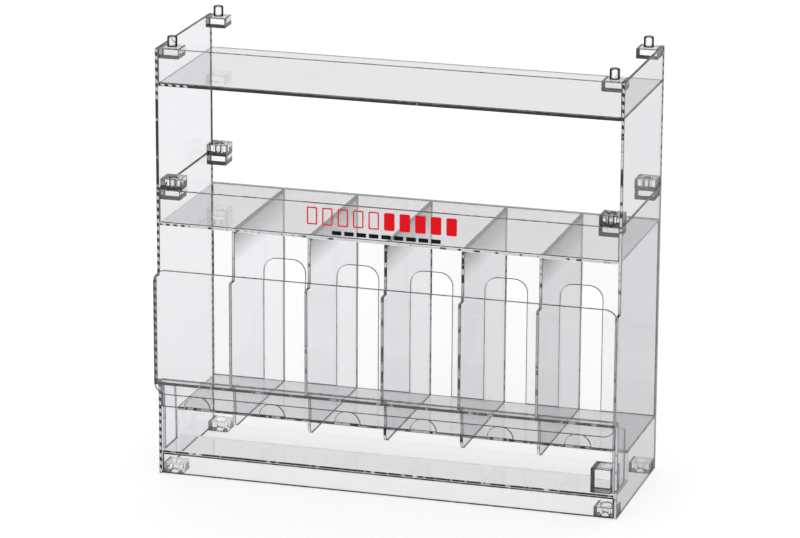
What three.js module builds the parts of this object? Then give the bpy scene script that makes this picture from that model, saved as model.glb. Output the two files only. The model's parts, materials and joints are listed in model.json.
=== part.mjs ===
// Stacking countertop dispenser of clear sheet plastic, in millimetres, +Z up, front towards -Y.
// A lower module with six tall chutes over a catch tray, and an open upper module with one shelf.
// The upper module lifts off: its socket blocks drop over pins on the lower module's corner blocks.
import * as THREE from 'three';

// ---- overall size -------------------------------------------------------------------------------
const WIDTH = 450;
const PANEL_DEPTH = 156;
const SHEET = 3;
const FACE_REACH = 12;              // how far the front panel stands ahead of the side panels
const LOWER_TOP = 281;              // top of the lower module, and foot of the upper one
const UPPER_TOP = 417;

// ---- planes across the depth, with the footprint centred on the origin -----------------------------
const FRONT = FACE_REACH - (PANEL_DEPTH + FACE_REACH) / 2;
const BACK = FRONT + PANEL_DEPTH;
const FACE_FRONT = FRONT - FACE_REACH;
const FACE_BACK = FACE_FRONT + SHEET;
const OUTER = WIDTH / 2;
const INNER = OUTER - SHEET;

// ---- levels of the lower module ---------------------------------------------------------------------
const TRAY_TOP = 24;
const CHUTE_FLOOR_TOP = 53;
const CHUTE_ROOF_TOP = 249;
const CHUTE_ROOF_FOOT = CHUTE_ROOF_TOP - SHEET;
const CHUTE_FLOOR_FRONT = FRONT + 46;
const EAR_FOOT = 95;
const EAR_TOP = 198.5;
const EAR_CORNER = 2;
const FACE_FOOT = 83;
const FACE_TOP = 206;
const FACE_CORNER = 12;
const RAIL_FOOT = 67;

// ---- levels of the upper module ---------------------------------------------------------------------
const UPPER_SHELF_TOP = 384;

// ---- chutes, arches and thumb notches -----------------------------------------------------------------
const CHUTES = 6;
const CHUTE_PITCH = (2 * INNER + SHEET) / CHUTES;
const ARCH_WIDTH = 43;
const ARCH_TOP = 177;
const ARCH_CORNER = 13;
const NOTCH_RADIUS = 12.5;
const DIVIDER_TOE = 8;

// ---- corner blocks and pins ---------------------------------------------------------------------------
const BLOCK = 20;
const BLOCK_HEIGHT = 10;
const PIN_RADIUS = 4.75;
const PIN_HEIGHT = 10;
const PIN_CHAMFER = 0.9;
const SOCKET_RADIUS = 5.2;
const ROUND_SEGMENTS = 32;
const CORNER_STEPS = 8;

// ---- cheeks lining the tray's two ends, and the stop block on the right-hand one ----------------------------
const CHEEK_REACH = 37;
const CHEEK_FRONT_TOP = 90;
const CHEEK_BACK_TOP = 77;
const STOP_WIDTH = 20;
const STOP_DEPTH = 23;
const STOP_HEIGHT = 24;

const CLEAR = 0xe9eef0;

const part = new THREE.Group();
part.name = 'stacking_chute_dispenser';

function addPiece(name, geometry) {
  const material = new THREE.MeshStandardMaterial({
    color: CLEAR,
    roughness: 0.05,
    transparent: true,
    opacity: 0.4,
  });
  material.name = `${name}_clear`;
  const mesh = new THREE.Mesh(geometry, material);
  mesh.name = name;
  part.add(mesh);
}

// A flat outline from corners [u, v, radius]; a corner with a radius is rounded.
function outline(corners) {
  const points = [];
  const count = corners.length;
  for (let i = 0; i < count; i += 1) {
    const [u, v, radius = 0] = corners[i];
    const here = new THREE.Vector2(u, v);
    if (radius === 0) {
      points.push(here);
      continue;
    }
    const before = corners[(i + count - 1) % count];
    const after = corners[(i + 1) % count];
    const inward = new THREE.Vector2(before[0] - u, before[1] - v).normalize();
    const onward = new THREE.Vector2(after[0] - u, after[1] - v).normalize();
    const centre = here.clone().addScaledVector(inward, radius).addScaledVector(onward, radius);
    for (let step = 0; step <= CORNER_STEPS; step += 1) {
      const turn = (step / CORNER_STEPS) * (Math.PI / 2);
      points.push(centre.clone()
        .addScaledVector(onward, -radius * Math.cos(turn))
        .addScaledVector(inward, -radius * Math.sin(turn)));
    }
  }
  return new THREE.Shape(points);
}

function extruded(shape, depth) {
  return new THREE.ExtrudeGeometry(shape, { depth, bevelEnabled: false, curveSegments: ROUND_SEGMENTS });
}

// A sheet facing front: outline in width and height, thickness along the depth.
function frontSheet(shape, yFrom, yTo) {
  const geometry = extruded(shape, yTo - yFrom);
  const basis = new THREE.Matrix4().makeBasis(
    new THREE.Vector3(1, 0, 0),
    new THREE.Vector3(0, 0, 1),
    new THREE.Vector3(0, -1, 0),
  );
  geometry.applyMatrix4(basis);
  geometry.translate(0, yTo, 0);
  return geometry;
}

// A sheet facing sideways: outline in depth and height, thickness along the width.
function sideSheet(shape, xFrom, xTo) {
  const geometry = extruded(shape, xTo - xFrom);
  const basis = new THREE.Matrix4().makeBasis(
    new THREE.Vector3(0, 1, 0),
    new THREE.Vector3(0, 0, 1),
    new THREE.Vector3(1, 0, 0),
  );
  geometry.applyMatrix4(basis);
  geometry.translate(xFrom, 0, 0);
  return geometry;
}

function box(xFrom, xTo, yFrom, yTo, zFrom, zTo) {
  const geometry = new THREE.BoxGeometry(xTo - xFrom, yTo - yFrom, zTo - zFrom);
  geometry.translate((xFrom + xTo) / 2, (yFrom + yTo) / 2, (zFrom + zTo) / 2);
  return geometry;
}

function rectangle(uFrom, uTo, vFrom, vTo) {
  return outline([[uFrom, vFrom], [uTo, vFrom], [uTo, vTo], [uFrom, vTo]]);
}

// A round pin standing on zFoot, with a chamfered head.
function pin(x, y, zFoot) {
  const profile = [
    [PIN_RADIUS, 0],
    [PIN_RADIUS, PIN_HEIGHT - PIN_CHAMFER],
    [PIN_RADIUS - PIN_CHAMFER, PIN_HEIGHT],
  ];
  const positions = [0, 0, 0, 0, 0, PIN_HEIGHT];
  const index = [];
  for (const [radius, height] of profile) {
    for (let i = 0; i < ROUND_SEGMENTS; i += 1) {
      const turn = (i / ROUND_SEGMENTS) * Math.PI * 2;
      positions.push(radius * Math.cos(turn), radius * Math.sin(turn), height);
    }
  }
  const ring = (row, i) => 2 + row * ROUND_SEGMENTS + (i % ROUND_SEGMENTS);
  const last = profile.length - 1;
  for (let i = 0; i < ROUND_SEGMENTS; i += 1) {
    index.push(0, ring(0, i + 1), ring(0, i));
    index.push(1, ring(last, i), ring(last, i + 1));
    for (let row = 0; row < last; row += 1) {
      index.push(ring(row, i), ring(row, i + 1), ring(row + 1, i + 1));
      index.push(ring(row, i), ring(row + 1, i + 1), ring(row + 1, i));
    }
  }
  const geometry = new THREE.BufferGeometry();
  geometry.setAttribute('position', new THREE.Float32BufferAttribute(positions, 3));
  geometry.setIndex(index);
  geometry.computeVertexNormals();
  geometry.translate(x, y, zFoot);
  return geometry;
}

// A square block with a bore right through it from top to bottom.
function socketBlock(x, y, zFoot) {
  const half = BLOCK / 2;
  const shape = rectangle(-half, half, -half, half);
  const bore = new THREE.Path();
  bore.absarc(0, 0, SOCKET_RADIUS, 0, Math.PI * 2, true);
  shape.holes.push(bore);
  const geometry = new THREE.ExtrudeGeometry(shape, {
    depth: BLOCK_HEIGHT,
    bevelEnabled: false,
    curveSegments: ROUND_SEGMENTS / 2,
  });
  geometry.translate(x, y, zFoot);
  return geometry;
}

// ---- the four corners of a module ------------------------------------------------------------------------
const CORNERS = [
  { name: 'front_left', x: -INNER + BLOCK / 2, y: FRONT + SHEET + BLOCK / 2 },
  { name: 'front_right', x: INNER - BLOCK / 2, y: FRONT + SHEET + BLOCK / 2 },
  { name: 'back_left', x: -INNER + BLOCK / 2, y: BACK - BLOCK / 2 },
  { name: 'back_right', x: INNER - BLOCK / 2, y: BACK - BLOCK / 2 },
];

function addCorners(module, zFoot, zTop) {
  const half = BLOCK / 2;
  for (const corner of CORNERS) {
    addPiece(`${module}_socket_${corner.name}`, socketBlock(corner.x, corner.y, zFoot));
    addPiece(`${module}_block_${corner.name}`, box(
      corner.x - half,
      corner.x + half,
      corner.y - half,
      corner.y + half,
      zTop - BLOCK_HEIGHT,
      zTop,
    ));
    addPiece(`${module}_pin_${corner.name}`, pin(corner.x, corner.y, zTop));
  }
}

// ---- lower module --------------------------------------------------------------------------------------
const lowerSide = outline([
  [FRONT, 0],
  [BACK, 0],
  [BACK, LOWER_TOP],
  [FRONT, LOWER_TOP],
  [FRONT, EAR_TOP],
  [FACE_BACK, EAR_TOP, EAR_CORNER],
  [FACE_BACK, EAR_FOOT],
  [FRONT, EAR_FOOT],
]);
addPiece('lower_left_side', sideSheet(lowerSide, -OUTER, -INNER));
addPiece('lower_right_side', sideSheet(lowerSide, INNER, OUTER));
addPiece('chute_roof', box(-INNER, INNER, FRONT, BACK, CHUTE_ROOF_FOOT, CHUTE_ROOF_TOP));
addPiece('lower_header', box(-INNER, INNER, FRONT, FRONT + SHEET, CHUTE_ROOF_TOP, LOWER_TOP));

// Dividers: an ear at the front carries the front panel, a notch clears the thumb rail.
const divider = outline([
  [FRONT, CHUTE_FLOOR_TOP, DIVIDER_TOE],
  [BACK - SHEET, CHUTE_FLOOR_TOP],
  [BACK - SHEET, CHUTE_ROOF_FOOT],
  [FRONT, CHUTE_ROOF_FOOT],
  [FRONT, EAR_TOP],
  [FACE_BACK, EAR_TOP, EAR_CORNER],
  [FACE_BACK, EAR_FOOT],
  [FRONT + SHEET, EAR_FOOT],
  [FRONT + SHEET, RAIL_FOOT],
  [FRONT, RAIL_FOOT],
]);
for (let i = 1; i < CHUTES; i += 1) {
  const left = -INNER - SHEET + i * CHUTE_PITCH;
  addPiece(`divider_${i}`, sideSheet(divider, left, left + SHEET));
}

// Back panel: a comb whose arches stand over the dividers' back edges.
const comb = [[-INNER, CHUTE_FLOOR_TOP]];
for (let i = 1; i < CHUTES; i += 1) {
  const middle = -INNER - SHEET / 2 + i * CHUTE_PITCH;
  comb.push(
    [middle - ARCH_WIDTH / 2, CHUTE_FLOOR_TOP],
    [middle - ARCH_WIDTH / 2, ARCH_TOP, ARCH_CORNER],
    [middle + ARCH_WIDTH / 2, ARCH_TOP, ARCH_CORNER],
    [middle + ARCH_WIDTH / 2, CHUTE_FLOOR_TOP],
  );
}
comb.push([INNER, CHUTE_FLOOR_TOP], [INNER, CHUTE_ROOF_FOOT], [-INNER, CHUTE_ROOF_FOOT]);
addPiece('back_comb', frontSheet(outline(comb), BACK - SHEET, BACK));

// Front panel, bridged to the side panels and dividers by their ears, with a ledge under the ears.
const facePanel = outline([
  [-OUTER, FACE_FOOT, FACE_CORNER],
  [OUTER, FACE_FOOT, FACE_CORNER],
  [OUTER, FACE_TOP, FACE_CORNER],
  [-OUTER, FACE_TOP, FACE_CORNER],
]);
addPiece('front_panel', frontSheet(facePanel, FACE_FRONT, FACE_BACK));
addPiece('front_ledge', box(-OUTER, OUTER, FACE_BACK, FRONT, EAR_FOOT - SHEET, EAR_FOOT));

// Thumb rail: a strip across the chute mouths with a half-round notch at the middle of each chute.
const rail = [new THREE.Vector2(-INNER, RAIL_FOOT)];
for (let i = 0; i < CHUTES; i += 1) {
  const middle = -INNER + (CHUTE_PITCH - SHEET) / 2 + i * CHUTE_PITCH;
  for (let step = 0; step <= 2 * CORNER_STEPS; step += 1) {
    const turn = Math.PI - (step / (2 * CORNER_STEPS)) * Math.PI;
    rail.push(new THREE.Vector2(
      middle + NOTCH_RADIUS * Math.cos(turn),
      RAIL_FOOT + NOTCH_RADIUS * Math.sin(turn),
    ));
  }
}
rail.push(
  new THREE.Vector2(INNER, RAIL_FOOT),
  new THREE.Vector2(INNER, EAR_FOOT),
  new THREE.Vector2(-INNER, EAR_FOOT),
);
addPiece('thumb_rail', frontSheet(new THREE.Shape(rail), FRONT, FRONT + SHEET));

// Chute floor, the wall under its front edge, and the catch tray ahead of it.
addPiece('chute_floor', box(
  -INNER,
  INNER,
  CHUTE_FLOOR_FRONT,
  BACK,
  CHUTE_FLOOR_TOP - SHEET,
  CHUTE_FLOOR_TOP,
));
addPiece('tray_back', box(
  -INNER,
  INNER,
  CHUTE_FLOOR_FRONT,
  CHUTE_FLOOR_FRONT + SHEET,
  TRAY_TOP,
  CHUTE_FLOOR_TOP - SHEET,
));
addPiece('tray_floor', box(
  -INNER,
  INNER,
  FRONT,
  CHUTE_FLOOR_FRONT + SHEET,
  TRAY_TOP - SHEET,
  TRAY_TOP,
));
addPiece('tray_apron', box(-INNER, INNER, FRONT, FRONT + SHEET, 0, TRAY_TOP - SHEET));
const cheek = outline([
  [FRONT + SHEET, TRAY_TOP],
  [FRONT + CHEEK_REACH, TRAY_TOP],
  [FRONT + CHEEK_REACH, CHEEK_BACK_TOP],
  [FRONT + SHEET, CHEEK_FRONT_TOP],
]);
addPiece('left_cheek', sideSheet(cheek, -INNER, -INNER + SHEET));
addPiece('right_cheek', sideSheet(cheek, INNER - SHEET, INNER));
addPiece('tray_stop', box(
  INNER - SHEET - STOP_WIDTH,
  INNER - SHEET,
  FRONT,
  FRONT + STOP_DEPTH,
  TRAY_TOP,
  TRAY_TOP + STOP_HEIGHT,
));
addCorners('lower', 0, LOWER_TOP);

// ---- upper module --------------------------------------------------------------------------------------
const upperSide = rectangle(FRONT, BACK, LOWER_TOP, UPPER_TOP);
addPiece('upper_left_side', sideSheet(upperSide, -OUTER, -INNER));
addPiece('upper_right_side', sideSheet(upperSide, INNER, OUTER));
addPiece('upper_shelf', box(-INNER, INNER, FRONT, BACK, UPPER_SHELF_TOP - SHEET, UPPER_SHELF_TOP));
addPiece('upper_header', box(-INNER, INNER, FRONT, FRONT + SHEET, UPPER_SHELF_TOP, UPPER_TOP));
addCorners('upper', LOWER_TOP, UPPER_TOP);

export default part;
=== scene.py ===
import json
import math

import bmesh
import bpy
import numpy as np
from mathutils import Euler, Matrix, Vector


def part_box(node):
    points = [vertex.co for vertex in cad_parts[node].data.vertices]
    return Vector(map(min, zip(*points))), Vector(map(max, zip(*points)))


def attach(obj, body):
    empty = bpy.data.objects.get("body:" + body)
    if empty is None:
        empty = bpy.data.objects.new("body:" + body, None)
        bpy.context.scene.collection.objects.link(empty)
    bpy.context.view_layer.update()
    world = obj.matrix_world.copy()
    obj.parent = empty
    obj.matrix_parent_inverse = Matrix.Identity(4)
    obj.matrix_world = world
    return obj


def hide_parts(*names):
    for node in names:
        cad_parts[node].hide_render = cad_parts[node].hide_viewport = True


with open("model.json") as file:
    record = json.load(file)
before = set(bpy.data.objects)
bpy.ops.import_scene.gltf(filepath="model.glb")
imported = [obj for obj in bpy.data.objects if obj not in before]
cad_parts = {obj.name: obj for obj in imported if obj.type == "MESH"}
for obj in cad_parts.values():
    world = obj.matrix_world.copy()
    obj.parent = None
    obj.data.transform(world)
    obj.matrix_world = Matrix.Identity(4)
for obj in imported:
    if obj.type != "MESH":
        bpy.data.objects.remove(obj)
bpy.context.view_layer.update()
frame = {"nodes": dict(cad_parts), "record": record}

bl_info = {
    "name": "Clear Stacking Pack Dispenser",
    "version": (1, 0, 0),
    "blender": (4, 5, 0),
    "location": "View3D > Sidebar > Dispenser",
    "description": "Builds a stacking countertop dispenser of clear sheet plastic on its CAD frame",
    "category": "Add Mesh",
}

MM = 0.001
BODIES = frame["record"]["behaviour"]["bodies"]
BODY_OF = {node: body for body, nodes in BODIES.items() for node in nodes}
CORNERS = ("front_left", "front_right", "back_left", "back_right")
AXIS_X, AXIS_Y, AXIS_Z = range(3)
FACE, LINE, RIM = range(3)

# Angles that tell a face's flat side from its rim, and a rounded run from a hard corner.
FLAT_SIDE = 0.999
SAME_PLANE = 0.9999
HARD_CORNER = math.radians(30)
ROUND_RUN = math.radians(20)
MERGE = 1e-6

# Refractive index of cast acrylic.
ACRYLIC = 1.49
# The range that a noise texture mostly stays in.
NOISE_LOW, NOISE_HIGH = 0.3, 0.7
# One minus the cosine of the slant: up to where a sheet is clearest, and from where its painted shade
# is greyest.
SQUARE_ON, ALONG_FACE = 0.3, 0.72
# Where the painted dark on a divider's crest begins and is full, as a share of the height of painted
# shade.
CREST_START, CREST_FULL = 0.9, 0.93
# How far the dashes' share of dark moves the noise's threshold, and half the range of the even pattern.
THRESHOLD_REACH, EVEN_REACH = 0.42, 0.3
# Where a block's walls, and a pin's, begin to turn to painted dark, and are wholly painted dark.
WALL_TURN, PIN_TURN = (0.75, 0.80), (0.12, 0.3)
# The noise up to which an edge line is darkest, and from which it is palest.
LINE_DARKEST, LINE_PALEST = 0.42, 0.62
# A block's depth of painted grey, and how much the pale edge lines and the ink glow as painted light.
BLOCK_DEPTH = 0.95
LINE_GLOW, INK_GLOW = 0.5, 0.35

# Evenly dashed stretches of painted light and shade: down from the top of a side panel, and in from the
# left end of a shelf.
PANEL_DASHED, SHELF_DASHED = 50 * MM, 30 * MM
# The height of painted shade at the top of a divider, each one's share of dark dashes, and the first
# one's depth of painted grey with the step to the next, each divider painted greyer than the one
# before.
DIVIDER_SHADED = 32 * MM
DIVIDER_DARKNESS = (0.0, 0.1, 0.45, 0.38, 0.15)
DIVIDER_DEPTH, DIVIDER_STEP = 0.87, 0.06

# The print, as shares of the card's pitch.
CARD_WIDTH, BAR_PITCH, BAR_WIDTH, BAR_INDENT = 0.68, 0.8, 0.62, 1.6
# How far the middle of the bars, and the foot of the cards' room, stand above the header's foot,
# as shares of a bar's height.
BAR_MIDDLE, CARD_FOOT = 1.1, 1.7
CARD_OUTLINE, BAR_CORNER = 1.3 * MM, 0.4 * MM
INK_DEPTH, INK_LIFT = 0.03 * MM, 0.01 * MM
# Facets on each rounded corner of a card, and round a pin and up it.
CARD_FACETS = 6
PIN_FACETS, PIN_RINGS = 48, 12

# In parts of a unit direction: how high the sky passes from horizon to overhead light, and how far
# sideways it falls off into the dark boards.
SKY_RISE, BOARD_EDGE = (0.45, 0.7), (0.5, 0.62)


# ---- settings ------------------------------------------------------------------------------------


class SheetSettings(bpy.types.PropertyGroup):
    """How the sheets and blocks are finished."""

    bevel: bpy.props.FloatProperty(
        name="Edge Break", description="Width of the small chamfer on every edge of a sheet",
        default=0.45 * MM, min=0.0, unit="LENGTH")
    block_bevel: bpy.props.FloatProperty(
        name="Block Edge Break", description="Width of the small chamfer on every edge of a block",
        default=0.8 * MM, min=0.0, unit="LENGTH")
    foot_bevel: bpy.props.FloatProperty(
        name="Foot Edge Break",
        description="Width of the chamfer on the strip that the front stands on",
        default=1.35 * MM, min=0.0, unit="LENGTH")
    cement_gap: bpy.props.FloatProperty(
        name="Cement Line",
        description="How far each face is drawn in, so that cemented pieces don't share it",
        default=0.04 * MM, min=0.0, unit="LENGTH")
    pin_nose: bpy.props.FloatProperty(
        name="Pin Nose", description="How far the head of a pin is drawn in",
        default=0.9 * MM, min=0.0, unit="LENGTH")


class ClearSettings(bpy.types.PropertyGroup):
    """The water-clear plastic."""

    index: bpy.props.FloatProperty(
        name="Refractive Index", description="Refractive index of cast acrylic",
        default=ACRYLIC, min=1.0)
    upright_index: bpy.props.FloatProperty(
        name="Upright Index",
        description="Refractive index of the thin upright sheets, kept low so that they mirror less",
        default=1.06, min=1.0)
    straight_tint: bpy.props.FloatVectorProperty(
        name="Straight Tint", description="Colour of a sheet looked at square on",
        default=(0.945, 0.948, 0.952), subtype="COLOR")
    # Part real cast, part painted shade: the grey painted into a sheet the more it is seen along its
    # face.
    slanting_tint_and_shade: bpy.props.FloatVectorProperty(
        name="Slanting Tint",
        description="Cast of a sheet looked at along its face, times its own depth of grey",
        default=(0.99, 0.97, 1.0), subtype="COLOR")
    # Painted shade: the grey painted on a divider's face near its top.
    top_shade: bpy.props.FloatProperty(
        name="Top Shade", description="How much of its light a divider keeps near its top",
        default=0.46, min=0.0)
    # Painted shade: the dark painted into the blocks' and pins' walls and into a divider's crest.
    dark: bpy.props.FloatVectorProperty(
        name="Inner Dark", description="Colour seen where a block's walls mirror its inside",
        default=(0.02, 0.018, 0.03), subtype="COLOR")
    roughness: bpy.props.FloatProperty(
        name="Roughness", description="Roughness of the polished faces", default=0.004, min=0.0)


class EdgeSettings(bpy.types.PropertyGroup):
    """The cut edges, painted in dark and light dashes: painted shade and painted light standing in for
    the light trapped in a sheet coming out.
    """

    dash: bpy.props.FloatProperty(
        name="Dash", description="Typical length of a dark or light dash",
        default=7 * MM, unit="LENGTH")
    even_dash: bpy.props.FloatProperty(
        name="Even Dash", description="From one evenly spaced dash to the next",
        default=7.5 * MM, unit="LENGTH")
    softness: bpy.props.FloatProperty(
        name="Softness", description="How gently a dash fades", default=0.06, min=0.001)
    clearness: bpy.props.FloatProperty(
        name="Clearness", description="How much light a cut edge lets through",
        default=0.12, min=0.0, max=1.0)
    # Painted shade and painted light: the colours of the dark and light dashes; the light one is also
    # the pale edge lines' glow.
    shade: bpy.props.FloatVectorProperty(
        name="Shade", description="Colour of the dark dashes",
        default=(0.010, 0.010, 0.014), subtype="COLOR")
    glow: bpy.props.FloatVectorProperty(
        name="Glow", description="Colour of the light dashes",
        default=(0.86, 0.86, 0.88), subtype="COLOR")


class PrintSettings(bpy.types.PropertyGroup):
    """The printed mark on the lower header: a row of cards over a row of bars."""

    red: bpy.props.FloatVectorProperty(
        name="Red Ink", description="Colour of the cards",
        default=(0.70, 0.002, 0.008), subtype="COLOR")
    black: bpy.props.FloatVectorProperty(
        name="Black Ink", description="Colour of the bars",
        default=(0.004, 0.004, 0.005), subtype="COLOR")
    cards: bpy.props.IntProperty(
        name="Cards",
        description="Outlined cards in the left half, and solid ones in the right half",
        default=5, min=1)
    card_pitch: bpy.props.FloatProperty(
        name="Card Pitch", description="From one card to the next", default=15 * MM, unit="LENGTH")
    card_height: bpy.props.FloatProperty(
        name="Card Height", description="Height of a card", default=17 * MM, unit="LENGTH")
    offset: bpy.props.FloatProperty(
        name="Offset", description="How far the mark's middle stands to the right of the header's",
        default=-4 * MM, unit="LENGTH")
    bar_height: bpy.props.FloatProperty(
        name="Bar Height", description="Height of the bars under the cards",
        default=4 * MM, unit="LENGTH")


class StageSettings(bpy.types.PropertyGroup):
    """Floor, sky, lights and camera."""

    floor: bpy.props.FloatVectorProperty(
        name="Floor", description="Colour of the floor", default=(0.8, 0.8, 0.8), subtype="COLOR")
    floor_glow: bpy.props.FloatProperty(
        name="Floor Glow", description="Light that comes up through the floor",
        default=0.68, min=0.0)
    overhead: bpy.props.FloatProperty(
        name="Overhead Light", description="Brightness of the sky overhead", default=0.85, min=0.0)
    horizon: bpy.props.FloatProperty(
        name="Horizon Light", description="Brightness of the sky at the horizon",
        default=0.75, min=0.0)
    sides: bpy.props.FloatProperty(
        name="Side Light", description="Brightness of the dark boards to the left and right",
        default=0.03, min=0.0)
    azimuth: bpy.props.FloatProperty(
        name="Azimuth", description="Camera's turn towards the right-hand side",
        default=math.radians(16.458), subtype="ANGLE")
    elevation: bpy.props.FloatProperty(
        name="Elevation", description="Camera's angle above the horizon",
        default=math.radians(16.25), subtype="ANGLE")
    roll: bpy.props.FloatProperty(
        name="Roll", description="Camera's turn about its own line of sight",
        default=math.radians(0.286), subtype="ANGLE")
    place: bpy.props.FloatVectorProperty(
        name="Camera", description="Where the camera stands",
        default=(1.0999, -3.7475, 1.3412), subtype="TRANSLATION")
    lens: bpy.props.FloatProperty(
        name="Lens", description="Focal length on a 36 mm wide sensor",
        default=193.75, unit="CAMERA")


# ---- shader helpers ------------------------------------------------------------------------------


def new_material(name):
    """A material with an empty tree but for a Principled shader and its output."""
    material = bpy.data.materials.new(name)
    material.use_nodes = True
    tree = material.node_tree
    tree.nodes.clear()
    shader = tree.nodes.new("ShaderNodeBsdfPrincipled")
    output = tree.nodes.new("ShaderNodeOutputMaterial")
    tree.links.new(shader.outputs["BSDF"], output.inputs["Surface"])
    return material, tree, shader


def colour(values):
    """The red, green and blue values as an opaque colour."""
    return (*values, 1.0)


def ramp(tree, factor, stops):
    """A colour ramp over factor with (position, colour) stops."""
    node = tree.nodes.new("ShaderNodeValToRGB")
    elements = node.color_ramp.elements
    elements[0].position, elements[0].color = stops[0][0], colour(stops[0][1])
    elements[1].position, elements[1].color = stops[-1][0], colour(stops[-1][1])
    for position, value in stops[1:-1]:
        elements.new(position).color = colour(value)
    tree.links.new(factor, node.inputs["Fac"])
    return node.outputs["Color"]


def noise(tree, feature, detail=2.0, stretch=(1.0, 1.0, 1.0)):
    """Noise on object coordinates whose features are about that size."""
    place = tree.nodes.new("ShaderNodeTexCoord")
    mapping = tree.nodes.new("ShaderNodeMapping")
    mapping.inputs["Scale"].default_value = stretch
    node = tree.nodes.new("ShaderNodeTexNoise")
    node.inputs["Scale"].default_value = 1.0 / feature
    node.inputs["Detail"].default_value = detail
    tree.links.new(place.outputs["Object"], mapping.inputs["Vector"])
    tree.links.new(mapping.outputs["Vector"], node.inputs["Vector"])
    return node.outputs["Fac"]


def axis_place(tree, axis):
    """One of the object coordinates."""
    place = tree.nodes.new("ShaderNodeTexCoord")
    parts = tree.nodes.new("ShaderNodeSeparateXYZ")
    tree.links.new(place.outputs["Object"], parts.inputs[0])
    return parts.outputs[axis]


def calculate(tree, operation, *values):
    """A Math node on sockets or numbers."""
    node = tree.nodes.new("ShaderNodeMath")
    node.operation = operation
    for socket, value in zip(node.inputs, values):
        if isinstance(value, bpy.types.NodeSocket):
            tree.links.new(value, socket)
        else:
            socket.default_value = value
    return node.outputs[0]


def map_range(tree, value, low, high, to_low, to_high):
    """The value carried from one range to another, and held within it."""
    node = tree.nodes.new("ShaderNodeMapRange")
    node.inputs["From Min"].default_value = low
    node.inputs["From Max"].default_value = high
    node.inputs["To Min"].default_value = to_low
    node.inputs["To Max"].default_value = to_high
    tree.links.new(value, node.inputs["Value"])
    return node.outputs["Result"]


def varied(tree, feature, low, high):
    """A number that wanders between low and high over features of about that size."""
    return map_range(tree, noise(tree, feature), NOISE_LOW, NOISE_HIGH, low, high)


def slant(tree):
    """One minus the cosine of the angle at which a face is seen."""
    node = tree.nodes.new("ShaderNodeLayerWeight")
    node.inputs["Blend"].default_value = 0.5
    return node.outputs["Facing"]


def choose(tree, factor, first, second, kind="FLOAT"):
    """First where the factor is 0 and second where it is 1: numbers or, for kind RGBA, colours."""
    node = tree.nodes.new("ShaderNodeMix")
    node.data_type = kind
    first_input, second_input, result = {"FLOAT": (2, 3, 0), "RGBA": (6, 7, 2)}[kind]
    tree.links.new(factor, node.inputs[0])
    tree.links.new(first, node.inputs[first_input])
    if isinstance(second, bpy.types.NodeSocket):
        tree.links.new(second, node.inputs[second_input])
    else:
        node.inputs[second_input].default_value = second
    return node.outputs[result]


# ---- materials -----------------------------------------------------------------------------------


def clear_face(name, settings, depth, index=None, shaded_top=None):
    """Polished face of a clear sheet with painted shade: grey painted in the more it is seen along its
    face.

    depth is the share of light that the painted shade keeps there. shaded_top gives the heights between
    which the painted grey deepens to settings.top_shade, with a painted dark crest above it."""
    material, tree, shader = new_material(name)
    shader.inputs["Transmission Weight"].default_value = 1.0
    shader.inputs["IOR"].default_value = index or settings.index
    # Painted shade: the grey of a sheet seen along its face, times its depth.
    slanting = [depth * channel for channel in settings.slanting_tint_and_shade]
    tint_and_painted_shade = ramp(tree, slant(tree), [
        (0.0, settings.straight_tint), (SQUARE_ON, settings.straight_tint), (ALONG_FACE, slanting)])
    # Painted shade: darker towards a divider's top, with a painted dark crest.
    if shaded_top:
        height = map_range(tree, axis_place(tree, AXIS_Z), *shaded_top, 0.0, 1.0)
        shade = ramp(tree, height, [
            (0.0, [1.0] * 3), (CREST_START, [settings.top_shade] * 3), (CREST_FULL, settings.dark)])
        deepen = tree.nodes.new("ShaderNodeVectorMath")
        deepen.operation = "MULTIPLY"
        tree.links.new(tint_and_painted_shade, deepen.inputs[0])
        tree.links.new(shade, deepen.inputs[1])
        tint_and_painted_shade = deepen.outputs[0]
    tree.links.new(tint_and_painted_shade, shader.inputs["Base Color"])
    polish = varied(tree, 60 * MM, 0.5 * settings.roughness, 2.0 * settings.roughness)
    tree.links.new(polish, shader.inputs["Roughness"])
    return material


def painted_dark_by_slant(name, settings, start, end):
    """Clear plastic with a painted reflection: it turns to a painted dark, standing in for its inside
    mirrored in its walls, where it is seen more slantingly than start, wholly so from end.
    """
    material = clear_face(name, settings, BLOCK_DEPTH)
    tree = material.node_tree
    output = next(node for node in tree.nodes if node.type == "OUTPUT_MATERIAL")
    clear = output.inputs["Surface"].links[0].from_socket
    dark = tree.nodes.new("ShaderNodeBsdfPrincipled")
    dark.inputs["Base Color"].default_value = colour(settings.dark)
    dark.inputs["Roughness"].default_value = 0.5
    dark.inputs["Specular IOR Level"].default_value = 0.1
    blend = tree.nodes.new("ShaderNodeMixShader")
    tree.links.new(map_range(tree, slant(tree), start, end, 0.0, 1.0), blend.inputs[0])
    tree.links.new(clear, blend.inputs[1])
    tree.links.new(dark.outputs[0], blend.inputs[2])
    tree.links.new(blend.outputs[0], output.inputs["Surface"])
    return material


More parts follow.
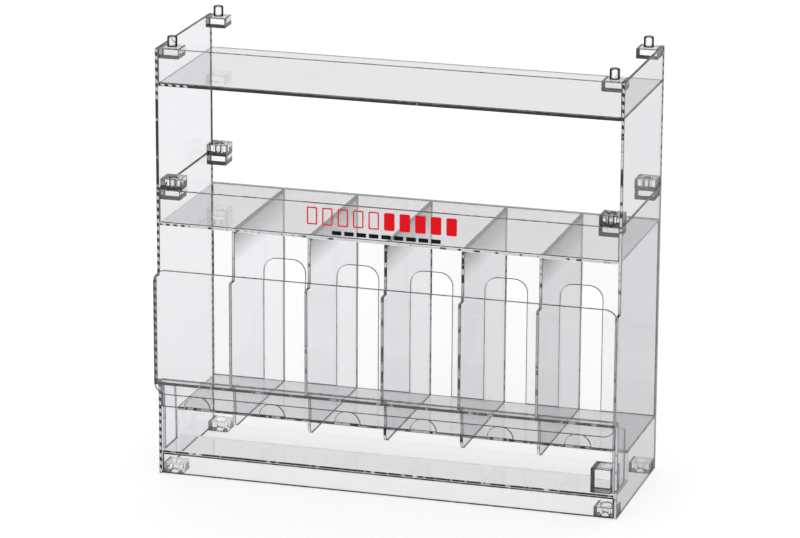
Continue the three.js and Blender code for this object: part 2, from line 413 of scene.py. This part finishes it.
def cut_edge(name, settings, thin_axis, darkness, even=None, lit_by=None):
    """Cut edge of a sheet, painted with dark and light dashes right across as painted shade and painted
    light; darkness is the share of dark dashes.

    even is an axis and the stretch of it where the dashes slant and follow evenly. lit_by is the print,
    where there is one: its red is painted into the edge above it, as painted light carried up the
    sheet."""
    material, tree, shader = new_material(name)
    shader.inputs["IOR"].default_value = ACRYLIC
    shader.inputs["Transmission Weight"].default_value = settings.clearness
    middle = 0.5 + (darkness - 0.5) * THRESHOLD_REACH
    across = [1.0 / settings.dash] * 3
    across[thin_axis] = 0.0
    pattern = noise(tree, 1.0, detail=1.5, stretch=across)
    if even:
        axis, low, high = even
        place = axis_place(tree, axis)
        along = calculate(tree, "DIVIDE", place, settings.even_dash)
        lean = 0.5 / settings.even_dash
        slanted = calculate(tree, "MULTIPLY_ADD", axis_place(tree, thin_axis), lean, along)
        dashed = calculate(tree, "PINGPONG", slanted, 0.5)
        widened = map_range(tree, dashed, 0.0, 0.5, middle - EVEN_REACH, middle + EVEN_REACH)
        inside = calculate(tree, "COMPARE", place, (low + high) / 2, (high - low) / 2)
        pattern = choose(tree, inside, pattern, widened)
    # Painted shade and painted light: the dashes.
    dashes = ramp(tree, pattern, [
        (middle - settings.softness, settings.shade), (middle + settings.softness, settings.glow)])
    # Painted light: the print's red painted into the edge over its width.
    if lit_by:
        half_width = lit_by.cards * lit_by.card_pitch
        inside = calculate(tree, "COMPARE", axis_place(tree, AXIS_X), lit_by.offset, half_width)
        dashes = choose(tree, inside, dashes, colour(lit_by.red), "RGBA")
    tree.links.new(dashes, shader.inputs["Base Color"])
    tree.links.new(varied(tree, 0.6 * MM, 0.08, 0.25), shader.inputs["Roughness"])
    return material


def edge_line(name, settings, dark):
    """Broken edge between two polished faces, seen as a thin line: painted shade when dark, painted
    light when glowing.
    """
    material, tree, shader = new_material(name)
    shader.inputs["IOR"].default_value = ACRYLIC
    shader.inputs["Transmission Weight"].default_value = settings.clearness
    stops = [settings.shade, [0.2] * 3] if dark else [[0.6] * 3, settings.glow]
    line = ramp(tree, noise(tree, settings.dash), [(LINE_DARKEST, stops[0]), (LINE_PALEST, stops[1])])
    tree.links.new(line, shader.inputs["Base Color"])
    # Painted light: the pale lines glow though they are no lamp.
    if not dark:
        shader.inputs["Emission Color"].default_value = colour(settings.glow)
        shader.inputs["Emission Strength"].default_value = LINE_GLOW
    tree.links.new(varied(tree, 0.6 * MM, 0.1, 0.3), shader.inputs["Roughness"])
    return material


def ink(name, settings_colour):
    """Screen-printed ink with a slightly uneven coat, and a painted glow in its own colour."""
    material, tree, shader = new_material(name)
    thin_coat = [0.92 * channel for channel in settings_colour]
    coat = ramp(tree, noise(tree, 2 * MM), [(NOISE_LOW, thin_coat), (NOISE_HIGH, settings_colour)])
    tree.links.new(coat, shader.inputs["Base Color"])
    shader.inputs["Specular IOR Level"].default_value = 0.1
    # Painted light: the ink glows though it is no lamp.
    shader.inputs["Emission Color"].default_value = colour(settings_colour)
    shader.inputs["Emission Strength"].default_value = INK_GLOW
    tree.links.new(varied(tree, 1 * MM, 0.3, 0.45), shader.inputs["Roughness"])
    return material


# ---- mesh helpers --------------------------------------------------------------------------------


def draw_in(bm, gap):
    """Moves every face inwards by gap, keeping the corners square."""
    moves = []
    for vertex in bm.verts:
        planes = []
        for face in vertex.link_faces:
            if all(face.normal.dot(plane) < SAME_PLANE for plane in planes):
                planes.append(face.normal.copy())
        step = np.linalg.lstsq(np.array(planes), np.full(len(planes), -gap), rcond=None)[0]
        moves.append((vertex, Vector(step)))
    for vertex, step in moves:
        vertex.co += step


def clean_solid(node):
    """The CAD node's solid with its loose triangles merged into whole faces."""
    bm = bmesh.new()
    bm.from_mesh(frame["nodes"][node].data)
    bmesh.ops.remove_doubles(bm, verts=bm.verts, dist=MERGE)
    bmesh.ops.dissolve_limit(bm, angle_limit=math.radians(1), verts=bm.verts, edges=bm.edges)
    bm.normal_update()
    return bm


def add_object(mesh, name):
    """Links the mesh to the scene as an object of the same name."""
    mesh.name = name
    linked = bpy.data.objects.new(name, mesh)
    bpy.context.scene.collection.objects.link(linked)
    return linked


def add_piece(mesh, name, node_names, materials):
    """Links the mesh as a piece that stands for those CAD nodes and moves with their body."""
    for material in materials:
        mesh.materials.append(material)
    piece = add_object(mesh, name)
    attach(piece, BODY_OF[node_names[0]])
    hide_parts(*node_names)
    return piece


def finish_solid(node, name, thin_axis, bevel, materials):
    """A sheet or block with broken edges, in materials for its broad faces, its edge lines and its rim.

    thin_axis is the one across a sheet. A block has none, and all its flat sides are broad faces."""
    bm = clean_solid(node)
    draw_in(bm, bpy.context.scene.dispenser_sheet.cement_gap)
    hard = [e for e in bm.edges if e.is_manifold and e.calc_face_angle() > HARD_CORNER]
    broken = set(bmesh.ops.bevel(
        bm, geom=hard, offset=bevel, segments=2, profile=0.5, affect="EDGES",
        clamp_overlap=True)["faces"])
    bm.normal_update()
    for f in bm.faces:
        f.smooth = True
        broad = thin_axis is None or abs(f.normal[thin_axis]) > FLAT_SIDE
        f.material_index = LINE if f in broken else FACE if broad else RIM
    for e in bm.edges:
        e.smooth = e.calc_face_angle() < ROUND_RUN
    mesh = bpy.data.meshes.new(name)
    bm.to_mesh(mesh)
    bm.free()
    return add_piece(mesh, name, [node], materials)


def shared(name, maker, *arguments):
    """The material of that name, made the first time that it is asked for."""
    found = bpy.data.materials.get(name)
    return found or maker(name, *arguments)


def sheet(node, name, thin_axis, darkness, depth=0.9, dark_lines=True, bevel=None,
          even=None, shaded_top=None, lit_by=None):
    """A sheet with that share of dark dashes on its rim, and that depth of painted grey in its faces:
    painted shade.
    """
    scene = bpy.context.scene
    clear = scene.dispenser_clear
    edges = scene.dispenser_edge
    index = clear.upright_index if thin_axis == AXIS_X else clear.index
    face = clear_face(f"{name}_face", clear, depth, index, shaded_top)
    # Painted shade or painted light: the dark edge lines, or the glowing pale ones.
    line = shared("painted_dark_line" if dark_lines else "painted_glow_line", edge_line, edges, dark_lines)
    rim = cut_edge(f"{name}_cut_edge", edges, thin_axis, darkness, even, lit_by)
    piece = finish_solid(node, name, thin_axis, bevel or scene.dispenser_sheet.bevel, [face, line, rim])
    # Painted shade: the top rim of an upright sheet gets the dark edge line, a painted dark crest.
    if thin_axis == AXIS_X:
        for side in piece.data.polygons:
            if side.material_index == RIM and side.normal.z > FLAT_SIDE:
                side.material_index = LINE


def block(node, name):
    """A solid block with painted dark broken edges, whose walls and foot carry a painted dark that
    stands in for its inside mirrored in them; only its top stays clear.
    """
    scene = bpy.context.scene
    clear = scene.dispenser_clear
    top = shared("clear_block_top", clear_face, clear, BLOCK_DEPTH)
    painted_dark_wall = shared("clear_block_wall_painted_dark", painted_dark_by_slant, clear, *WALL_TURN)
    line = shared("painted_dark_line", edge_line, scene.dispenser_edge, True)
    piece = finish_solid(node, name, None, scene.dispenser_sheet.block_bevel, [top, line, painted_dark_wall])
    # Painted shade: every face but the top gets the painted dark wall.
    for side in piece.data.polygons:
        if side.material_index == FACE and side.normal.z < FLAT_SIDE:
            side.material_index = RIM


# ---- Geometry Nodes helpers ----------------------------------------------------------------------


class NodeTree:
    """A Geometry Nodes tree under construction, with named inputs."""

    def __init__(self, name):
        self.tree = bpy.data.node_groups.new(name, "GeometryNodeTree")
        self.tree.is_modifier = True
        self.identifiers = {}
        self.tree.interface.new_socket("Geometry", in_out="INPUT", socket_type="NodeSocketGeometry")
        self.tree.interface.new_socket("Geometry", in_out="OUTPUT", socket_type="NodeSocketGeometry")
        self.start = self.tree.nodes.new("NodeGroupInput")
        self.end = self.tree.nodes.new("NodeGroupOutput")

    def input(self, name, kind, value):
        """A named input with its default, as a socket to link from."""
        socket = self.tree.interface.new_socket(name, in_out="INPUT", socket_type=f"NodeSocket{kind}")
        socket.default_value = value
        self.identifiers[name] = socket.identifier
        return self.start.outputs[name]

    def node(self, kind, settings=None, **inputs):
        """A node with its properties set, and its inputs linked to sockets or given values."""
        node = self.tree.nodes.new(kind)
        for key, value in (settings or {}).items():
            setattr(node, key, value)
        for key, value in inputs.items():
            socket = node.inputs[key.replace("_", " ")]
            if isinstance(value, bpy.types.NodeSocket):
                self.tree.links.new(value, socket)
            else:
                socket.default_value = value
        return node

    def maths(self, operation, first, second):
        return calculate(self.tree, operation, first, second)

    def join(self, *geometries):
        """All of those geometries as one."""
        node = self.tree.nodes.new("GeometryNodeJoinGeometry")
        for geometry in geometries:
            self.tree.links.new(geometry, node.inputs[0])
        return node.outputs[0]

    def finish(self, geometry, material):
        """Ends the tree in Realize Instances and Set Material."""
        real = self.node("GeometryNodeRealizeInstances", Geometry=geometry)
        painted = self.node("GeometryNodeSetMaterial", Geometry=real.outputs[0])
        painted.inputs["Material"].default_value = material
        self.tree.links.new(painted.outputs[0], self.end.inputs[0])

    def bake(self, name, points, values):
        """The tree's result on those points as a plain mesh, with inputs set by their identifiers."""
        seed = bpy.data.meshes.new(f"{name}_points")
        seed.from_pydata(points, [], [])
        holder = bpy.data.objects.new(f"{name}_holder", seed)
        bpy.context.scene.collection.objects.link(holder)
        modifier = holder.modifiers.new("shape", "NODES")
        modifier.node_group = self.tree
        for key, value in values.items():
            modifier[self.identifiers[key]] = value
        evaluated = holder.evaluated_get(bpy.context.evaluated_depsgraph_get())
        mesh = bpy.data.meshes.new_from_object(evaluated)
        holder.modifiers.remove(modifier)
        bpy.data.objects.remove(holder)
        bpy.data.meshes.remove(seed)
        return mesh


def pin_tree(material):
    """Round pins standing on points, each with a drawn-in nose."""
    tree = NodeTree("corner_pins")
    radius = tree.input("Radius", "Float", 4.75 * MM)
    height = tree.input("Height", "Float", 10 * MM)
    nose = tree.input("Nose", "Float", 0.9 * MM)
    body = tree.node("GeometryNodeMeshCylinder", Vertices=PIN_FACETS, Side_Segments=PIN_RINGS,
                     Radius=radius, Depth=height)
    place = tree.node("GeometryNodeInputPosition").outputs[0]
    parts = tree.node("ShaderNodeSeparateXYZ", Vector=place)
    nose_foot = tree.maths("MULTIPLY", height, 0.5 - 0.5 / PIN_RINGS)
    is_nose = tree.maths("GREATER_THAN", parts.outputs["Z"], nose_foot)
    shrink = tree.maths("SUBTRACT", 1.0, tree.maths("DIVIDE", nose, radius))
    shape = tree.node("ShaderNodeCombineXYZ", X=tree.maths("MULTIPLY", parts.outputs["X"], shrink),
                      Y=tree.maths("MULTIPLY", parts.outputs["Y"], shrink), Z=parts.outputs["Z"])
    nosed = tree.node("GeometryNodeSetPosition", Geometry=body.outputs["Mesh"],
                      Selection=is_nose, Position=shape.outputs[0])
    lift = tree.node("ShaderNodeCombineXYZ", Z=tree.maths("MULTIPLY", height, 0.5))
    stood = tree.node("GeometryNodeTransform", Geometry=nosed.outputs[0], Translation=lift.outputs[0])
    spread = tree.node("GeometryNodeInstanceOnPoints",
                       Points=tree.start.outputs["Geometry"], Instance=stood.outputs[0])
    tree.finish(spread.outputs[0], material)
    return tree


def card_tree(name, material):
    """A row of upright rounded cards; a Line above zero leaves them as outlines."""
    tree = NodeTree(name)
    count = tree.input("Count", "Int", 5)
    pitch = tree.input("Pitch", "Float", 15 * MM)
    width = tree.input("Width", "Float", 10 * MM)
    height = tree.input("Height", "Float", 18 * MM)
    corner = tree.input("Corner", "Float", 1.5 * MM)
    line = tree.input("Line", "Float", 0.0)
    ink_depth = tree.input("Ink", "Float", INK_DEPTH)

    def rounded(across, up, rounding):
        curve = tree.node("GeometryNodeCurvePrimitiveQuadrilateral", Width=across, Height=up)
        return tree.node("GeometryNodeFilletCurve", {"mode": "POLY"}, Curve=curve.outputs[0],
                         Radius=rounding, Count=CARD_FACETS).outputs[0]

    double_line = tree.maths("MULTIPLY", line, 2.0)
    outer = rounded(width, height, corner)
    inner = rounded(tree.maths("SUBTRACT", width, double_line),
                    tree.maths("SUBTRACT", height, double_line),
                    tree.maths("MULTIPLY", corner, 0.5))
    is_outline = tree.node("FunctionNodeCompare", {"data_type": "FLOAT", "operation": "GREATER_THAN"},
                           A=line, B=0.0)
    hollow = tree.node("GeometryNodeSwitch", {"input_type": "GEOMETRY"},
                       **{"Switch": is_outline.outputs[0], "True": inner})
    flat = tree.node("GeometryNodeFillCurve", Curve=tree.join(outer, hollow.outputs[0])).outputs[0]
    raised = tree.node("GeometryNodeExtrudeMesh", Mesh=flat, Offset_Scale=ink_depth,
                       Individual=False).outputs[0]
    underside = tree.node("GeometryNodeFlipFaces", Mesh=flat).outputs[0]
    closed = tree.node("GeometryNodeMergeByDistance", Geometry=tree.join(raised, underside),
                       Distance=MERGE).outputs[0]
    upright = tree.node("GeometryNodeTransform", Geometry=closed, Rotation=Euler((math.pi / 2, 0, 0)))
    step = tree.node("ShaderNodeCombineXYZ", X=pitch).outputs[0]
    row = tree.node("GeometryNodeMeshLine", Count=count, Offset=step).outputs[0]
    spread = tree.node("GeometryNodeInstanceOnPoints", Points=row, Instance=upright.outputs[0])
    tree.finish(spread.outputs[0], material)
    return tree


# ---- operators -----------------------------------------------------------------------------------


class DISPENSER_OT_side_panels(bpy.types.Operator):
    """Add the side panels of both modules and the cheeks at the tray's ends"""

    bl_idname = "dispenser.side_panels"
    bl_label = "Side Panels"

    def execute(self, context):
        foot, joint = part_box("lower_left_side")
        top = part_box("upper_left_side")[1].z
        below_top = (AXIS_Z, top - PANEL_DASHED, top)
        # Painted shade: the depths make the right-hand panels greyer than the left.
        sheet("lower_left_side", "lower_left_panel", AXIS_X, darkness=0.5, depth=0.80,
              even=(AXIS_Z, foot.z, joint.z))
        sheet("upper_left_side", "upper_left_panel", AXIS_X, darkness=0.95, depth=0.82, even=below_top)
        sheet("lower_right_side", "lower_right_panel", AXIS_X, darkness=0.12, depth=0.62)
        sheet("upper_right_side", "upper_right_panel", AXIS_X, darkness=0.4, depth=0.72, even=below_top)
        for side in ("left", "right"):
            sheet(f"{side}_cheek", f"{side}_tray_cheek", AXIS_X, darkness=0.2, depth=1.0)
        return {"FINISHED"}


class DISPENSER_OT_shelves(bpy.types.Operator):
    """Add the level sheets: the chute floor, the roof over the chutes and the upper shelf"""

    bl_idname = "dispenser.shelves"
    bl_label = "Shelves"

    def execute(self, context):
        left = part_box("chute_roof")[0].x
        left_end = (AXIS_X, left, left + SHELF_DASHED)
        # Painted shade: each level sheet keeps its own depth of grey, the chute floor greyest.
        sheet("chute_roof", "roof_sheet", AXIS_Z, darkness=0.2, depth=0.75, dark_lines=False,
              even=left_end)
        sheet("chute_floor", "floor_sheet", AXIS_Z, darkness=0.4, depth=0.55)
        sheet("upper_shelf", "upper_shelf_sheet", AXIS_Z, darkness=1.1, depth=1.0, even=left_end)
        return {"FINISHED"}


class DISPENSER_OT_headers(bpy.types.Operator):
    """Add the upright strips along the front of the roof and of the upper shelf"""

    bl_idname = "dispenser.headers"
    bl_label = "Headers"

    def execute(self, context):
        sheet("lower_header", "lower_header_strip", AXIS_Y, darkness=0.35,
              lit_by=context.scene.dispenser_print)
        sheet("upper_header", "upper_header_strip", AXIS_Y, darkness=0.3)
        return {"FINISHED"}


class DISPENSER_OT_dividers(bpy.types.Operator):
    """Add the five dividers between the chutes and the arched sheet behind them"""

    bl_idname = "dispenser.dividers"
    bl_label = "Dividers and Back"

    def execute(self, context):
        dividers = sorted(node for node in frame["nodes"] if node.startswith("divider_"))
        for place, (node, darkness) in enumerate(zip(dividers, DIVIDER_DARKNESS, strict=True)):
            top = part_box(node)[1].z
            # Painted shade: each divider greyer than the last, and darker towards its top.
            sheet(node, f"{node}_sheet", AXIS_X, darkness, depth=DIVIDER_DEPTH - DIVIDER_STEP * place,
                  shaded_top=(top - DIVIDER_SHADED, top))
        sheet("back_comb", "arched_back", AXIS_Y, darkness=0.5)
        return {"FINISHED"}


class DISPENSER_OT_front(bpy.types.Operator):
    """Add the front panel, the ledge behind it and the notched thumb rail"""

    bl_idname = "dispenser.front"
    bl_label = "Front Panel"

    def execute(self, context):
        sheet("front_panel", "front_panel_sheet", AXIS_Y, darkness=0.2, depth=0.95)
        sheet("front_ledge", "ledge_strip", AXIS_Z, darkness=0.75, depth=0.95)
        sheet("thumb_rail", "notched_rail", AXIS_Y, darkness=0.35, depth=0.95)
        return {"FINISHED"}


class DISPENSER_OT_tray(bpy.types.Operator):
    """Add the catch tray and the stop block at its right-hand end"""

    bl_idname = "dispenser.tray"
    bl_label = "Catch Tray"

    def execute(self, context):
        sheet("tray_floor", "tray_floor_sheet", AXIS_Z, darkness=0.8, depth=0.97, dark_lines=False)
        sheet("tray_back", "tray_back_strip", AXIS_Y, darkness=0.1, depth=0.97, dark_lines=False)
        sheet("tray_apron", "tray_apron_strip", AXIS_Y, darkness=0.7, depth=0.97,
              bevel=context.scene.dispenser_sheet.foot_bevel)
        block("tray_stop", "stop_block")
        return {"FINISHED"}


class DISPENSER_OT_corner_blocks(bpy.types.Operator):
    """Add the bored socket blocks and the plain blocks that carry the pins"""

    bl_idname = "dispenser.corner_blocks"
    bl_label = "Corner Blocks"

    def execute(self, context):
        for module in ("lower", "upper"):
            for corner in CORNERS:
                block(f"{module}_socket_{corner}", f"{module}_socket_block_{corner}")
                block(f"{module}_block_{corner}", f"{module}_pin_block_{corner}")
        return {"FINISHED"}


class DISPENSER_OT_pins(bpy.types.Operator):
    """Stand the pins on each module's corner blocks"""

    bl_idname = "dispenser.pins"
    bl_label = "Pins"

    def execute(self, context):
        settings = context.scene.dispenser_sheet
        clear = context.scene.dispenser_clear
        # Painted shade: the pins' walls are painted dark by slant; their flat heads stay clear.
        painted_dark_wall = shared("clear_pin_wall_painted_dark", painted_dark_by_slant, clear, *PIN_TURN)
        head = shared("clear_block_top", clear_face, clear, BLOCK_DEPTH)
        tree = pin_tree(painted_dark_wall)
        for module in ("lower", "upper"):
            nodes = [f"{module}_pin_{corner}" for corner in CORNERS]
            boxes = [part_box(node) for node in nodes]
            feet = [((low.x + high.x) / 2, (low.y + high.y) / 2, low.z + settings.cement_gap)
                    for low, high in boxes]
            low, high = boxes[0]
            mesh = tree.bake(f"{module}_pins", feet, {
                "Radius": (high.x - low.x) / 2, "Height": high.z - low.z - 2 * settings.cement_gap,
                "Nose": settings.pin_nose})
            mesh.shade_smooth()
            mesh.set_sharp_from_angle(angle=ROUND_RUN)
            mesh.materials.clear()
            for face in mesh.polygons:
                face.material_index = int(face.normal.z > FLAT_SIDE)
            add_piece(mesh, f"{module}_pin_set", nodes, [painted_dark_wall, head])
        return {"FINISHED"}


class DISPENSER_OT_header_print(bpy.types.Operator):
    """Print the lower header: outlined and solid red cards over a row of black bars"""

    bl_idname = "dispenser.header_print"
    bl_label = "Header Print"

    def execute(self, context):
        settings = context.scene.dispenser_print
        red = shared("red_ink", ink, settings.red)
        black = shared("black_ink", ink, settings.black)
        pitch = settings.card_pitch
        low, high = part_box("lower_header")
        face = low.y - INK_LIFT
        bars_middle = low.z + BAR_MIDDLE * settings.bar_height
        cards_middle = (low.z + CARD_FOOT * settings.bar_height + high.z) / 2
        first = settings.offset - (2 * settings.cards - 1) * pitch / 2
        card = {"Pitch": pitch, "Width": CARD_WIDTH * pitch,
                "Height": settings.card_height, "Count": settings.cards}
        bar = {"Pitch": BAR_PITCH * pitch, "Width": BAR_WIDTH * pitch, "Height": settings.bar_height,
               "Corner": BAR_CORNER, "Count": 2 * settings.cards - 1}
        rows = (
            ("outlined_cards", red, first, cards_middle, {**card, "Line": CARD_OUTLINE}),
            ("solid_cards", red, first + settings.cards * pitch, cards_middle, card),
            ("black_bars", black, first + BAR_INDENT * pitch, bars_middle, bar),
        )
        for name, material, x, z, values in rows:
            mesh = card_tree(name, material).bake(name, [(0, 0, 0)], values)
            mesh.transform(Matrix.Translation((x, face, z)))
            piece = add_object(mesh, name)
            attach(piece, BODY_OF["lower_header"])
        return {"FINISHED"}


class DISPENSER_OT_stage(bpy.types.Operator):
    """Lay the pale floor, hang the soft sky and set up the camera"""

    bl_idname = "dispenser.stage"
    bl_label = "Stage"

    def floor(self, settings):
        """A wide pale floor just under the feet."""
        reach, drop = 30.0, 0.3 * MM
        mesh = bpy.data.meshes.new("pale_floor")
        corners = ((-reach, -reach), (reach, -reach), (reach, reach), (-reach, reach))
        mesh.from_pydata([(x, y, -drop) for x, y in corners], [], [(0, 1, 2, 3)])
        material, _, shader = new_material("pale_floor")
        shader.inputs["Base Color"].default_value = colour(settings.floor)
        shader.inputs["Roughness"].default_value = 0.9
        shader.inputs["Specular IOR Level"].default_value = 0.0
        shader.inputs["Emission Color"].default_value = colour((1.0, 1.0, 1.0))
        shader.inputs["Emission Strength"].default_value = settings.floor_glow
        mesh.materials.append(material)
        floor = add_object(mesh, "pale_floor")

    def sky(self, settings):
        """An even sky, a little brighter overhead, with a dark board on each side."""
        world = bpy.data.worlds.new("studio_sky")
        bpy.context.scene.world = world
        world.use_nodes = True
        tree = world.node_tree
        tree.nodes.clear()
        place = tree.nodes.new("ShaderNodeTexCoord")
        parts = tree.nodes.new("ShaderNodeSeparateXYZ")
        tree.links.new(place.outputs["Generated"], parts.inputs[0])
        rise = map_range(tree, parts.outputs["Z"], *SKY_RISE, settings.horizon, settings.overhead)
        sideways = calculate(tree, "ABSOLUTE", parts.outputs["X"])
        board = map_range(tree, sideways, *BOARD_EDGE, 1.0, settings.sides)
        light = tree.nodes.new("ShaderNodeBackground")
        output = tree.nodes.new("ShaderNodeOutputWorld")
        tree.links.new(calculate(tree, "MULTIPLY", rise, board), light.inputs["Strength"])
        tree.links.new(light.outputs[0], output.inputs["Surface"])

    def camera(self, settings):
        """The camera, set by its place, its two angles and its roll."""
        data = bpy.data.cameras.new("camera")
        data.sensor_width = 36.0
        data.lens = settings.lens
        camera = bpy.data.objects.new("camera", data)
        bpy.context.scene.collection.objects.link(camera)
        aim = Euler((math.pi / 2 - settings.elevation, 0.0, settings.azimuth)).to_matrix()
        turn = aim @ Matrix.Rotation(settings.roll, 3, "Z")
        camera.matrix_world = Matrix.Translation(settings.place) @ turn.to_4x4()
        data.clip_end = 100.0
        bpy.context.scene.camera = camera

    def execute(self, context):
        settings = context.scene.dispenser_stage
        self.floor(settings)
        self.sky(settings)
        self.camera(settings)
        scene = context.scene
        scene.view_settings.view_transform = "Standard"
        # Light passes through a dozen sheets, with two faces each, on its way to the back.
        scene.cycles.max_bounces = 48
        scene.cycles.transmission_bounces = 48
        scene.cycles.glossy_bounces = 12
        return {"FINISHED"}


class DISPENSER_PT_panel(bpy.types.Panel):
    """The dispenser's settings and its building steps"""

    bl_label = "Clear Pack Dispenser"
    bl_idname = "DISPENSER_PT_panel"
    bl_space_type = "VIEW_3D"
    bl_region_type = "UI"
    bl_category = "Dispenser"

    def draw(self, context):
        layout = self.layout
        for attribute, group in SETTINGS.items():
            box = layout.box()
            settings = getattr(context.scene, attribute)
            for name in group.__annotations__:
                box.prop(settings, name)
        for operator in OPERATORS:
            layout.operator(operator.bl_idname)


# ---- registration --------------------------------------------------------------------------------

SETTINGS = {
    "dispenser_sheet": SheetSettings,
    "dispenser_clear": ClearSettings,
    "dispenser_edge": EdgeSettings,
    "dispenser_print": PrintSettings,
    "dispenser_stage": StageSettings,
}
OPERATORS = (
    DISPENSER_OT_side_panels,
    DISPENSER_OT_shelves,
    DISPENSER_OT_headers,
    DISPENSER_OT_dividers,
    DISPENSER_OT_front,
    DISPENSER_OT_tray,
    DISPENSER_OT_corner_blocks,
    DISPENSER_OT_pins,
    DISPENSER_OT_header_print,
    DISPENSER_OT_stage,
)


def register():
    for attribute, group in SETTINGS.items():
        bpy.utils.register_class(group)
        setattr(bpy.types.Scene, attribute, bpy.props.PointerProperty(type=group))
    for operator in OPERATORS:
        bpy.utils.register_class(operator)
    bpy.utils.register_class(DISPENSER_PT_panel)


def unregister():
    bpy.utils.unregister_class(DISPENSER_PT_panel)
    for operator in reversed(OPERATORS):
        bpy.utils.unregister_class(operator)
    for attribute, group in reversed(SETTINGS.items()):
        delattr(bpy.types.Scene, attribute)
        bpy.utils.unregister_class(group)


def main():
    register()
    for operator in OPERATORS:
        group, name = operator.bl_idname.split(".")
        getattr(getattr(bpy.ops, group), name)()


if __name__ == "__main__":
    main()
